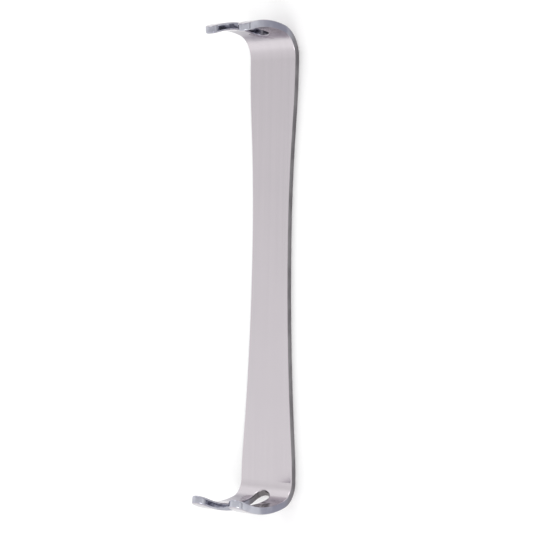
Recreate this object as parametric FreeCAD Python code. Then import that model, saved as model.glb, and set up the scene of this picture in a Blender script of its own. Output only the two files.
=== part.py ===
import FreeCAD, Part

# Double-ended hand-held surgical retractor, formed from one piece of stainless sheet.
# The strip lies on its back along X, and both hooks turn up along +Z.
# The smaller hook is at +X and the larger one at -X.
# The origin is on the floor, under the middle of the part.
# Lengths are in millimetres and angles in degrees.

import math
import os

from FreeCAD import Vector

# The sheet
overall_length = 150.0
sheet_thickness = 2.3
edge_radius = 0.45

# The strip's waist, where it is narrowest
waist_x = 9.5
waist_half_width = 6.8

# The small hook, at +X
small_half_width = 8.6
small_bend_radius = 7.2
small_bend_turn = 80.0
small_blade_radius = 35.5
small_height = 27.3
small_prong_width = 5.1
small_slot_width = 5.6
small_root_turn = 92.0
small_inflection = 0.65

# The large hook, at -X
large_half_width = 9.7
large_bend_radius = 5.2
large_bend_turn = 77.5
large_blade_radius = 35.0
large_height = 29.1
large_prong_width = 5.7
large_slot_width = 5.8
large_root_turn = 65.0
large_inflection = 0.87

# How far up the blade the slot's sides stay parallel, past the bend and the slot's round root
parallel_run = 1.0

# Spare room by which a cutting tool runs past what it cuts
margin = 8.0
tip_spare_turn = 6.0

# How close two directions are before they count as one
tolerance = 1e-6

ACROSS = Vector(0, 1, 0)
ALONG = Vector(1, 0, 0)
UP = Vector(0, 0, 1)


class Hook:
    """The sizes of one hook, drawn as if it were at +X, with the places that follow from them."""

    def __init__(self, half_width, bend, blade_radius, height, prong_width, slot):
        self.half_width = half_width
        self.bend_radius, self.bend_turn = bend
        self.blade_radius = blade_radius
        self.prong_width = prong_width
        self.slot_width, self.root_turn = slot
        bulge = (blade_radius - self.bend_radius) * (1 - sine(self.bend_turn))
        self.bend_x = overall_length / 2 - sheet_thickness - self.bend_radius - bulge
        self.bend_centre = Vector(self.bend_x, 0, sheet_thickness + self.bend_radius)
        self.blade_centre = self.bend_centre - outward(self.bend_turn) * (blade_radius - self.bend_radius)
        tip_rise = (height - self.blade_centre.z) / blade_radius
        self.tip_turn = 90 + math.degrees(math.asin(tip_rise))
        # The prongs are cut square to the sheet halfway along the blade
        self.face_turn = (self.bend_turn + self.tip_turn) / 2
        middle_radius = blade_radius + sheet_thickness / 2
        self.tip_reach = middle_radius * sine(self.tip_turn - self.face_turn)
        # The slot flares once it is clear of both the bend and its own round root
        bend_reach = middle_radius * sine(self.bend_turn - self.face_turn)
        root_arm = outward(self.root_turn) * (self.bend_radius + sheet_thickness / 2)
        root_point = self.bend_centre + root_arm - self.blade_centre
        root_reach = root_point.dot(forward(self.face_turn))
        self.flare_reach = max(bend_reach, root_reach + self.slot_width / 2) + parallel_run


def sine(angle):
    return math.sin(math.radians(angle))


def outward(angle):
    """The direction out through the sheet, away from its bend's centre, where it has turned by an angle."""
    turn = math.radians(angle)
    return Vector(math.sin(turn), 0, -math.cos(turn))


def forward(angle):
    """The direction along the sheet, towards the tip, where it has turned by an angle."""
    turn = math.radians(angle)
    return Vector(math.cos(turn), 0, math.sin(turn))


def line(start, end):
    return Part.LineSegment(start, end).toShape()


def bent_arc(centre, radius, start, end):
    """An arc of the side view, between two turning angles."""
    angles = (start, (start + end) / 2, end)
    points = [centre + outward(angle) * radius for angle in angles]
    return Part.Arc(*points).toShape()


def arc_round(centre, start, end):
    """An arc under half a turn about its centre."""
    middle = (start - centre) + (end - centre)
    middle.normalize()
    radius = (start - centre).Length
    return Part.Arc(start, centre + middle * radius, end).toShape()


def stepped_edge(start, end, inflection):
    """Two tangent arcs that step sideways, leaving and arriving along the strip.

    The arcs meet on the straight line between the ends, at the inflection's share of the way.
    """
    span = end - start
    step = span.dot(ACROSS)
    if abs(step) < tolerance:
        return [line(start, end)]
    meeting = start + span * inflection
    whole_radius = span.dot(span) / (2 * step)
    first_centre = start + ACROSS * (whole_radius * inflection)
    second_centre = end - ACROSS * (whole_radius * (1 - inflection))
    return [arc_round(first_centre, start, meeting), arc_round(second_centre, meeting, end)]


def flare(start, tip_centre, tip_radius):
    """The slot's side: an arc that leaves its start up the blade and runs into a prong's round tip.

    The point where the arc meets the tip comes with it.
    """
    span = tip_centre - start
    step = span.dot(ACROSS) - tip_radius
    if abs(step) < tolerance:
        end = tip_centre - ACROSS * tip_radius
        return line(start, end), end
    radius = (span.dot(span) - tip_radius**2) / (2 * step)
    centre = start + ACROSS * radius
    end = tip_centre + (tip_centre - centre) * (tip_radius / (radius - tip_radius))
    return arc_round(centre, start, end), end


def mirrored(shape, normal):
    """The shape reflected in the plane through the origin that has this normal."""
    return shape.mirror(Vector(0, 0, 0), normal)


def face_of(edges):
    return Part.Face(Part.Wire(Part.__sortEdges__(edges)))


def bent_sheet(hook):
    """The sheet of one hook, bent but not yet cut to its outline."""
    inner = hook.bend_radius
    outer = hook.bend_radius + sheet_thickness
    blade_inner = hook.blade_radius
    blade_outer = hook.blade_radius + sheet_thickness
    end_turn = hook.tip_turn + tip_spare_turn
    edges = [
        line(Vector(hook.bend_x, 0, 0), Vector(hook.bend_x, 0, sheet_thickness)),
        bent_arc(hook.bend_centre, inner, 0, hook.bend_turn),
        bent_arc(hook.blade_centre, blade_inner, hook.bend_turn, end_turn),
        line(
            hook.blade_centre + outward(end_turn) * blade_inner,
            hook.blade_centre + outward(end_turn) * blade_outer,
        ),
        bent_arc(hook.blade_centre, blade_outer, hook.bend_turn, end_turn),
        bent_arc(hook.bend_centre, outer, 0, hook.bend_turn),
    ]
    half_span = hook.half_width + margin
    section = face_of(edges)
    section.translate(ACROSS * -half_span)
    return section.extrude(ACROSS * (2 * half_span))


def prong_outline(hook):
    """What is kept on the +Y side of a hook, seen square to its blade and drawn through the sheet."""
    up = forward(hook.face_turn)

    def at(reach, side):
        return hook.blade_centre + up * reach + ACROSS * side

    tip_radius = hook.prong_width / 2
    tip_centre = at(hook.tip_reach - tip_radius, hook.half_width - tip_radius)
    tip_side = tip_centre + ACROSS * tip_radius
    slot_side = hook.slot_width / 2
    foot = hook.flare_reach - hook.blade_radius
    flare_arc, flare_end = flare(at(hook.flare_reach, slot_side), tip_centre, tip_radius)
    edges = [
        line(at(foot, 0), at(foot, hook.half_width)),
        line(at(foot, hook.half_width), tip_side),
        Part.Arc(tip_side, tip_centre + up * tip_radius, flare_end).toShape(),
        flare_arc,
        line(at(hook.flare_reach, slot_side), at(hook.flare_reach, 0)),
        line(at(hook.flare_reach, 0), at(foot, 0)),
    ]
    depth = 2 * (hook.blade_radius + margin)
    return face_of(edges).extrude(outward(hook.face_turn) * depth)


def slot_tool(hook):
    """The parallel part of the slot, from its round root in the bend up past the tips."""
    through = outward(hook.root_turn)
    radius = hook.slot_width / 2
    depth = hook.bend_radius + sheet_thickness + margin
    root = Part.makeCylinder(radius, depth, hook.bend_centre, through)
    length = 2 * hook.blade_radius
    corners = [
        hook.bend_centre + through * depth,
        hook.bend_centre + through * depth + forward(hook.root_turn) * length,
        hook.bend_centre - through * length + forward(hook.root_turn) * length,
        hook.bend_centre - through * length,
    ]
    side = Part.Face(Part.makePolygon(corners + corners[:1]))
    side.translate(ACROSS * -radius)
    return root.fuse(side.extrude(ACROSS * hook.slot_width))


def hook_solid(hook):
    outline = prong_outline(hook)
    outline = outline.fuse(mirrored(outline, ACROSS))
    return bent_sheet(hook).common(outline).cut(slot_tool(hook))


def strip_edges(hook, waist, inflection):
    """The strip's +Y edge from the waist to where a hook at +X starts to bend."""
    end = Vector(hook.bend_x, hook.half_width, 0)
    return stepped_edge(waist, end, inflection)


def strip_solid(small, large):
    """The flat strip between the two bends, waisted along both edges."""
    waist = Vector(waist_x, waist_half_width, 0)
    mirror_waist = Vector(-waist_x, waist_half_width, 0)
    small_edges = strip_edges(small, waist, small_inflection)
    large_edges = strip_edges(large, mirror_waist, large_inflection)
    large_edges = [mirrored(edge, ALONG) for edge in large_edges]
    left = small_edges + large_edges
    right = [mirrored(edge, ACROSS) for edge in left]
    small_end = line(
        Vector(small.bend_x, small.half_width, 0), Vector(small.bend_x, -small.half_width, 0)
    )
    large_end = line(
        Vector(-large.bend_x, large.half_width, 0), Vector(-large.bend_x, -large.half_width, 0)
    )
    return face_of([*left, small_end, *right, large_end]).extrude(UP * sheet_thickness)


def lies_in_sheet(face):
    """Whether a face is the front or back of the sheet, flat or bent, and not its cut edge."""
    surface = face.Surface
    if isinstance(surface, Part.Plane):
        return abs(surface.Axis.dot(UP)) > 1 - tolerance
    if isinstance(surface, Part.Cylinder):
        return abs(surface.Axis.dot(ACROSS)) > 1 - tolerance
    return False


def round_edges(solid):
    """Round every edge where the front or back of the sheet meets its cut edge."""
    chosen = []
    for edge in solid.Edges:
        faces = solid.ancestorsOfType(edge, Part.Face)
        kinds = [lies_in_sheet(face) for face in faces]
        if len(kinds) == 2 and kinds[0] != kinds[1]:
            chosen.append(edge)
    return solid.makeFillet(edge_radius, chosen)


def retractor():
    small = Hook(
        small_half_width,
        (small_bend_radius, small_bend_turn),
        small_blade_radius,
        small_height,
        small_prong_width,
        (small_slot_width, small_root_turn),
    )
    large = Hook(
        large_half_width,
        (large_bend_radius, large_bend_turn),
        large_blade_radius,
        large_height,
        large_prong_width,
        (large_slot_width, large_root_turn),
    )
    small_hook = hook_solid(small)
    large_hook = mirrored(hook_solid(large), ALONG)
    solid = strip_solid(small, large).fuse([small_hook, large_hook]).removeSplitter()
    return round_edges(solid.Solids[0])


def main():
    os.makedirs("parts", exist_ok=True)
    solid = retractor()
    print("valid", solid.isValid(), "solids", len(solid.Solids), "faces", len(solid.Faces))
    print("volume", round(solid.Volume, 1), "box", solid.optimalBoundingBox())
    solid.exportStep("parts/retractor_body.step")


main()
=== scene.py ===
import math

import bpy
from mathutils import Matrix, Vector

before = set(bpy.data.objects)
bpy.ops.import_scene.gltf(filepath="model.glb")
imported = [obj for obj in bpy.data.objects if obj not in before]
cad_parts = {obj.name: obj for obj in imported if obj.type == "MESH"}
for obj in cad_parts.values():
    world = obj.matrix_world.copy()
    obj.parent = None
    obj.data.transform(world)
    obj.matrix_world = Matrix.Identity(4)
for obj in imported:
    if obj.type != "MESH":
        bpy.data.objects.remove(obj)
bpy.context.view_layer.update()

# Lengths are in metres. The retractor lies on its back along X, with its hooks up.

# The camera looks down on it, over the -Y side, with the small hook at the top of the picture
PICTURE_PIXELS = 533
PIXELS_PER_METRE = 3199.0
CAMERA_TILT = math.radians(34.5)
CAMERA_ROLL = math.radians(0.9)
CAMERA_DISTANCE = 0.535
SENSOR = 36.0

# The middle of the strip's front, where the lamps aim, and how far from it the camera aims
STRIP_FRONT = Vector((0, 0, 0.0023))
AIM_ALONG = 0.0002
AIM_ASIDE = -0.0009

WHITE = (1.0, 1.0, 1.0, 1.0)

# The floor gives a little light of its own where it is seen or mirrored, so that it reads as white
FLOOR_SIZE = 3.0
FLOOR_COLOUR = (0.9, 0.9, 0.9, 1.0)
FLOOR_ROUGHNESS = 0.9
FLOOR_GLOW = 0.08

# The place of each lamp, the side of its square and its power
LAMPS = {
    "key": ((-0.45, -0.35, 0.7), 0.35, 0.9),
    "fill": ((0.6, 0.2, 0.45), 0.3, 0.5),
}

# The studio's light grows towards the horizon and towards -X, and it is weaker low down on the
# camera's side. Each range is of one part of the direction that the light comes from.
WORLD_STRENGTH = 0.99
HORIZON_RANGE = (0.78, 0.5)
HORIZON_RISE = 0.2
SIDE_RANGE = (-0.6, 0.6)
SIDE_RISE = 0.1
LOW_RANGE = (0.55, 0.3)
CAMERA_SIDE_RANGE = (-0.45, -0.75)
CAMERA_SIDE_FALL = 0.45

# Each hook's bend and blade in the side view, as in the part
HALF_LENGTH = 0.075
SHEET = 0.0023
SMALL_BEND_RADIUS = 0.0072
SMALL_BEND_TURN = math.radians(80.0)
SMALL_BLADE_RADIUS = 0.0355
LARGE_BEND_RADIUS = 0.0052
LARGE_BEND_TURN = math.radians(77.5)
LARGE_BLADE_RADIUS = 0.035

# How far a surface may face away from the sheet's own direction before it counts as cut edge
EDGE_FACING = (0.92, 0.45)

# The heights over which the satin turns to polish on the sheet's faces, and over which the cut edge
# turns from painted shade to painted reflections
FACE_POLISH_HEIGHTS = (0.0038, 0.0068)
EDGE_SHADE_TO_REFLECTION_HEIGHTS = (0.0015, 0.0075)

# Painted highlight: the prongs' cut edge grows lighter up to the tips
TIP_HIGHLIGHT_HEIGHTS = (0.012, 0.027)
TIP_HIGHLIGHT_SHARE = 0.5

# Painted shade in the low slot's root: how far it reaches from the middle, and how high
SLOT_SHADE_SIDES = (0.0036, 0.0026)
SLOT_SHADE_HEIGHTS = (0.0085, 0.006)

# Each finish varies between two colours
SATIN_COLOURS = ((0.60, 0.56, 0.59, 1.0), (0.565, 0.53, 0.56, 1.0))
# The polished colours are darkened with painted dark reflections
POLISHED_COLOURS_WITH_PAINTED_REFLECTIONS = ((0.30, 0.275, 0.32, 1.0), (0.41, 0.385, 0.425, 1.0))
# Painted shade on the cut edge low down, along the strip
EDGE_PAINTED_SHADE_COLOURS = ((0.17, 0.16, 0.17, 1.0), (0.23, 0.22, 0.23, 1.0))
# Painted reflections and glints on the prongs' cut edge
PRONG_EDGE_PAINTED_REFLECTION_COLOURS = ((0.21, 0.21, 0.265, 1.0), (0.47, 0.475, 0.53, 1.0))
# Painted shade in the low slot's root
SLOT_ROOT_PAINTED_SHADE = (0.13, 0.12, 0.125, 1.0)

# Painted light: the colour is a little lighter towards the large hook
PAINTED_LIGHT_PLACES = (0.07, -0.07)
PAINTED_LIGHT_SHADES = (0.95, 1.05)
BRUSH_SHADES = (0.99, 1.008)

# How much the brush lines are drawn out: they vary fast along Y, and slowly along X and Z
FINE_STRETCH = (14.0, 2600.0, 14.0)
BROAD_STRETCH = (9.0, 520.0, 9.0)

# Each pattern's scale, detail and roughness
FINE_LINES = (1.0, 3.0, 0.6)
BROAD_LINES = (1.0, 2.0, 0.5)
CLOUD = (60.0, 3.0, 0.55)
# The mottled pattern paints patches of reflection on the polish and of shade on the cut edge
PAINTED_LIGHT_MOTTLE = (170.0, 2.0, 0.5)
DIMPLES = (300.0, 1.0, 0.4)

# The parts of each pattern's range that are used
BRUSH_RANGE = (0.3, 0.7)
PAINTED_LIGHT_MOTTLE_RANGE = (0.36, 0.64)
SATIN_RANGE = (0.25, 0.75)
DIMPLE_RANGE = (0.3, 0.7)

SATIN_ROUGHNESS = (0.14, 0.19)
POLISHED_ROUGHNESS = (0.09, 0.14)

# How deep the relief is, and how strong it is on the satin and on the polish
GROOVE_DEPTH = 0.00002
GROOVE_STRENGTHS = (0.08, 0.03)
DIMPLE_DEPTH = 0.0005
DIMPLE_STRENGTHS = (0.02, 0.45)


class Nodes:
    """A short hand for building the node tree of a material or of the world."""

    def __init__(self, owner):
        owner.use_nodes = True
        self.tree = owner.node_tree

    def add(self, kind):
        return self.tree.nodes.new(kind)

    def feed(self, socket, value):
        """Link a socket to another node's output, or set it to a number or a colour."""
        if isinstance(value, bpy.types.NodeSocket):
            self.tree.links.new(value, socket)
        else:
            socket.default_value = value

    def feed_all(self, node, **values):
        """Feed a node's inputs by name, with each space written as an underscore."""
        for name, value in values.items():
            self.feed(node.inputs[name.replace("_", " ")], value)

    def parts(self, vector):
        """The X, Y and Z of a vector."""
        node = self.add("ShaderNodeSeparateXYZ")
        self.feed(node.inputs[0], vector)
        return node.outputs

    def math(self, operation, *values, clamp=False):
        node = self.add("ShaderNodeMath")
        node.operation = operation
        node.use_clamp = clamp
        for socket, value in zip(node.inputs, values):
            self.feed(socket, value)
        return node.outputs[0]

    def remap(self, value, limits, results=(0.0, 1.0)):
        """A smooth step of a value between two limits."""
        node = self.add("ShaderNodeMapRange")
        node.interpolation_type = "SMOOTHSTEP"
        low, high = limits
        to_low, to_high = results
        self.feed_all(node, Value=value, From_Min=low, From_Max=high, To_Min=to_low, To_Max=to_high)
        return node.outputs["Result"]

    def mix(self, factor, first, second, kind="RGBA"):
        node = self.add("ShaderNodeMix")
        node.data_type = kind
        # The node has sockets for each kind of value, and the ones in use are the enabled ones
        sockets = [socket for socket in node.inputs if socket.enabled]
        for socket, value in zip(sockets, (factor, first, second)):
            self.feed(socket, value)
        return next(socket for socket in node.outputs if socket.enabled)

    def scaled(self, vector, factor):
        """A vector or a colour times a number."""
        node = self.add("ShaderNodeVectorMath")
        node.operation = "SCALE"
        self.feed(node.inputs[0], vector)
        self.feed_all(node, Scale=factor)
        return node.outputs[0]

    def stretched(self, vector, scales):
        """A vector with each of its parts times a number of its own."""
        node = self.add("ShaderNodeMapping")
        self.feed_all(node, Vector=vector, Scale=scales)
        return node.outputs["Vector"]

    def noise(self, vector, scale, detail, roughness):
        node = self.add("ShaderNodeTexNoise")
        self.feed_all(node, Vector=vector, Scale=scale, Detail=detail, Roughness=roughness)
        return node.outputs["Fac"]

    def bump(self, height, depth, strength):
        node = self.add("ShaderNodeBump")
        self.feed_all(node, Height=height, Distance=depth, Strength=strength)
        return node


class HookView:
    """Where a hook's bend and blade have their centres in the side view, as if it were at +X."""

    def __init__(self, bend_radius, bend_turn, blade_radius):
        reach = blade_radius - bend_radius
        self.turn_x = math.cos(bend_turn)
        self.turn_z = math.sin(bend_turn)
        self.bend_x = HALF_LENGTH - SHEET - bend_radius - reach * (1 - self.turn_z)
        self.bend_z = SHEET + bend_radius
        self.blade_x = self.bend_x - reach * self.turn_z
        self.blade_z = self.bend_z + reach * self.turn_x


def dot(n, first_x, first_z, second_x, second_z):
    """How far two directions of the side view agree."""
    return n.math("ADD", n.math("MULTIPLY", first_x, second_x), n.math("MULTIPLY", first_z, second_z))


def cut_edge(n, place, normal):
    """A mask that is 0 on the front and back of the sheet and 1 on its cut edge.

    The front and the back face along the line from the bend's or the blade's centre, and straight
    up or down on the strip.
    """
    small = HookView(SMALL_BEND_RADIUS, SMALL_BEND_TURN, SMALL_BLADE_RADIUS)
    large = HookView(LARGE_BEND_RADIUS, LARGE_BEND_TURN, LARGE_BLADE_RADIUS)
    is_small = n.math("GREATER_THAN", place["X"], 0.0)

    def either(at_small, at_large):
        return n.math("MULTIPLY_ADD", is_small, at_small - at_large, at_large)

    along = n.math("ABSOLUTE", place["X"])
    bend_x = n.math("SUBTRACT", along, either(small.bend_x, large.bend_x))
    bend_z = n.math("SUBTRACT", place["Z"], either(small.bend_z, large.bend_z))
    blade_x = n.math("SUBTRACT", along, either(small.blade_x, large.blade_x))
    blade_z = n.math("SUBTRACT", place["Z"], either(small.blade_z, large.blade_z))
    turn_x = either(small.turn_x, large.turn_x)
    turn_z = either(small.turn_z, large.turn_z)
    on_blade = n.math("GREATER_THAN", dot(n, bend_x, bend_z, turn_x, turn_z), 0.0)
    arm_x = n.mix(on_blade, n.math("MAXIMUM", bend_x, 0.0), blade_x, "FLOAT")
    arm_z = n.mix(on_blade, bend_z, blade_z, "FLOAT")
    length = n.math("SQRT", dot(n, arm_x, arm_z, arm_x, arm_z))
    normal_x = n.math("MULTIPLY", normal["X"], n.math("SIGN", place["X"]))
    facing = n.math("DIVIDE", dot(n, normal_x, normal["Z"], arm_x, arm_z), length)
    return n.remap(n.math("ABSOLUTE", facing), EDGE_FACING)


# On the hooks the colour is polished steel, darkened and mottled with painted reflections
def face_colour(n, place, polished, painted_light_mottle):
    cloud = n.noise(place, *CLOUD)
    return n.mix(polished, n.mix(cloud, *SATIN_COLOURS), n.mix(painted_light_mottle, *POLISHED_COLOURS_WITH_PAINTED_REFLECTIONS))


def edge_colour(n, place, painted_light_mottle):
    """Painted shade on the cut edge along the strip and in the low slot's root, and painted
    reflections and a painted highlight up the prongs.
    """
    # A painted highlight grows up the prongs, over the mottled painted reflections
    tip_highlight = n.remap(place["Z"], TIP_HIGHLIGHT_HEIGHTS, (0.0, TIP_HIGHLIGHT_SHARE))
    painted_lightness = n.math("MULTIPLY_ADD", painted_light_mottle, 1 - TIP_HIGHLIGHT_SHARE, tip_highlight)
    polished = n.remap(place["Z"], EDGE_SHADE_TO_REFLECTION_HEIGHTS)
    # The cut edge's colour turns from painted shade low down to painted reflections up the prongs
    colour = n.mix(
        polished, n.mix(painted_light_mottle, *EDGE_PAINTED_SHADE_COLOURS), n.mix(painted_lightness, *PRONG_EDGE_PAINTED_REFLECTION_COLOURS)
    )
    # Painted shade in the low slot's root
    middle = n.remap(n.math("ABSOLUTE", place["Y"]), SLOT_SHADE_SIDES)
    slot_root_shade = n.math("MULTIPLY", middle, n.remap(place["Z"], SLOT_SHADE_HEIGHTS))
    return n.mix(slot_root_shade, colour, SLOT_ROOT_PAINTED_SHADE)


def shade(n, place, along, fine):
    """How light the colour is: fine and broad brush lines, and painted light that grows along the
    part.
    """
    broad = n.noise(n.stretched(place, BROAD_STRETCH), *BROAD_LINES)
    fine_shade = n.remap(fine, BRUSH_RANGE, BRUSH_SHADES)
    broad_shade = n.remap(broad, BRUSH_RANGE, BRUSH_SHADES)
    # Painted light, a little stronger towards the large hook
    painted_light_grade = n.remap(along, PAINTED_LIGHT_PLACES, PAINTED_LIGHT_SHADES)
    return n.math("MULTIPLY", n.math("MULTIPLY", fine_shade, broad_shade), painted_light_grade)


def relief(n, polished, fine, dimples):
    """Brush grooves that fade where it is polished, and the polish's soft dimples."""
    both = (0.0, 1.0)
    groove = n.bump(fine, GROOVE_DEPTH, n.remap(polished, both, GROOVE_STRENGTHS))
    dimple = n.bump(dimples, DIMPLE_DEPTH, n.remap(polished, both, DIMPLE_STRENGTHS))
    n.feed_all(dimple, Normal=groove.outputs["Normal"])
    return dimple.outputs["Normal"]


def steel():
    """Stainless steel: brushed satin on the strip, polished on the hooks, with painted reflections on
    the hooks and painted shade on the cut edge.
    """
    material = bpy.data.materials.new("satin_steel")
    n = Nodes(material)
    coordinates = n.add("ShaderNodeTexCoord")
    place = coordinates.outputs["Object"]
    parts = n.parts(place)
    edge = cut_edge(n, parts, n.parts(coordinates.outputs["Normal"]))
    polished = n.remap(parts["Z"], FACE_POLISH_HEIGHTS)

    # The brush lines run along the strip and up both blades, so they vary across the sheet
    fine = n.noise(n.stretched(place, FINE_STRETCH), *FINE_LINES)
    # Mottled painted light: dark and bright patches of painted reflection and painted shade
    painted_light_mottle = n.remap(n.noise(place, *PAINTED_LIGHT_MOTTLE), PAINTED_LIGHT_MOTTLE_RANGE)
    dimples = n.noise(place, *DIMPLES)

    colour = n.mix(edge, face_colour(n, place, polished, painted_light_mottle), edge_colour(n, parts, painted_light_mottle))
    satin = n.remap(fine, SATIN_RANGE, SATIN_ROUGHNESS)
    bright = n.remap(dimples, DIMPLE_RANGE, POLISHED_ROUGHNESS)
    n.feed_all(
        n.tree.nodes["Principled BSDF"],
        Base_Color=n.scaled(colour, shade(n, place, parts["X"], fine)),
        Metallic=1.0,
        Roughness=n.mix(polished, satin, bright, "FLOAT"),
        Normal=relief(n, polished, fine, dimples),
    )
    return material


def pale_floor():
    """A matt near-white floor that keeps the shadow and reads as white where nothing shades it."""
    material = bpy.data.materials.new("pale_floor")
    n = Nodes(material)
    path = n.add("ShaderNodeLightPath").outputs
    seen = n.math("ADD", path["Is Camera Ray"], path["Is Glossy Ray"])
    seen = n.math("ADD", seen, path["Is Transmission Ray"], clamp=True)
    n.feed_all(
        n.tree.nodes["Principled BSDF"],
        Base_Color=FLOOR_COLOUR,
        Roughness=FLOOR_ROUGHNESS,
        Specular_IOR_Level=0.0,
        Emission_Color=WHITE,
        Emission_Strength=n.math("MULTIPLY", seen, FLOOR_GLOW),
    )
    return material


def place_floor():
    half = FLOOR_SIZE / 2
    corners = [(-half, -half, 0), (half, -half, 0), (half, half, 0), (-half, half, 0)]
    mesh = bpy.data.meshes.new("floor")
    mesh.from_pydata(corners, [], [(0, 1, 2, 3)])
    mesh.materials.append(pale_floor())
    piece = bpy.data.objects.new("floor", mesh)
    bpy.context.scene.collection.objects.link(piece)


def place_lamp(name, place, side, power):
    lamp = bpy.data.lights.new(name, "AREA")
    lamp.shape = "RECTANGLE"
    lamp.size = side
    lamp.size_y = side
    lamp.energy = power
    piece = bpy.data.objects.new(name, lamp)
    piece.location = place
    piece.rotation_euler = (STRIP_FRONT - Vector(place)).to_track_quat("-Z", "Y").to_euler()
    bpy.context.scene.collection.objects.link(piece)


def light_world():
    """Soft light from all round, with no lamp or window to be seen in it."""
    world = bpy.data.worlds.new("studio")
    bpy.context.scene.world = world
    n = Nodes(world)
    direction = n.parts(n.add("ShaderNodeTexCoord").outputs["Generated"])
    height = n.math("ABSOLUTE", direction["Z"])
    horizon = n.remap(height, HORIZON_RANGE, (0.0, HORIZON_RISE))
    side = n.remap(direction["X"], SIDE_RANGE, (SIDE_RISE, -SIDE_RISE))
    fall = n.remap(direction["Y"], CAMERA_SIDE_RANGE, (0.0, -CAMERA_SIDE_FALL))
    low_fall = n.math("MULTIPLY", n.remap(height, LOW_RANGE), fall)
    changes = n.math("ADD", n.math("ADD", horizon, side), low_fall)
    strength = n.math("ADD", changes, WORLD_STRENGTH)
    n.feed_all(n.tree.nodes["Background"], Color=WHITE, Strength=strength)


def place_camera():
    data = bpy.data.cameras.new("camera")
    piece = bpy.data.objects.new("camera", data)
    bpy.context.scene.collection.objects.link(piece)
    bpy.context.scene.camera = piece
    toward = Vector((0, -math.sin(CAMERA_TILT), math.cos(CAMERA_TILT)))
    right = Vector((0, -math.cos(CAMERA_TILT), -math.sin(CAMERA_TILT)))
    up = Vector((1, 0, 0))
    aim = STRIP_FRONT + up * AIM_ALONG + right * AIM_ASIDE
    turn = Matrix((right, up, toward)).transposed().to_4x4()
    roll = Matrix.Rotation(CAMERA_ROLL, 4, "Z")
    piece.matrix_world = Matrix.Translation(aim + toward * CAMERA_DISTANCE) @ turn @ roll
    picture_width = PICTURE_PIXELS / PIXELS_PER_METRE
    data.sensor_width = SENSOR
    data.lens = SENSOR * CAMERA_DISTANCE / picture_width


def dress(node, material):
    """Give a CAD node its material."""
    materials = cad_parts[node].data.materials
    materials.clear()
    materials.append(material)


dress("retractor_body", steel())
place_floor()
for lamp_name, (lamp_place, lamp_side, lamp_power) in LAMPS.items():
    place_lamp(lamp_name, lamp_place, lamp_side, lamp_power)
light_world()
place_camera()
bpy.context.scene.view_settings.view_transform = "Standard"
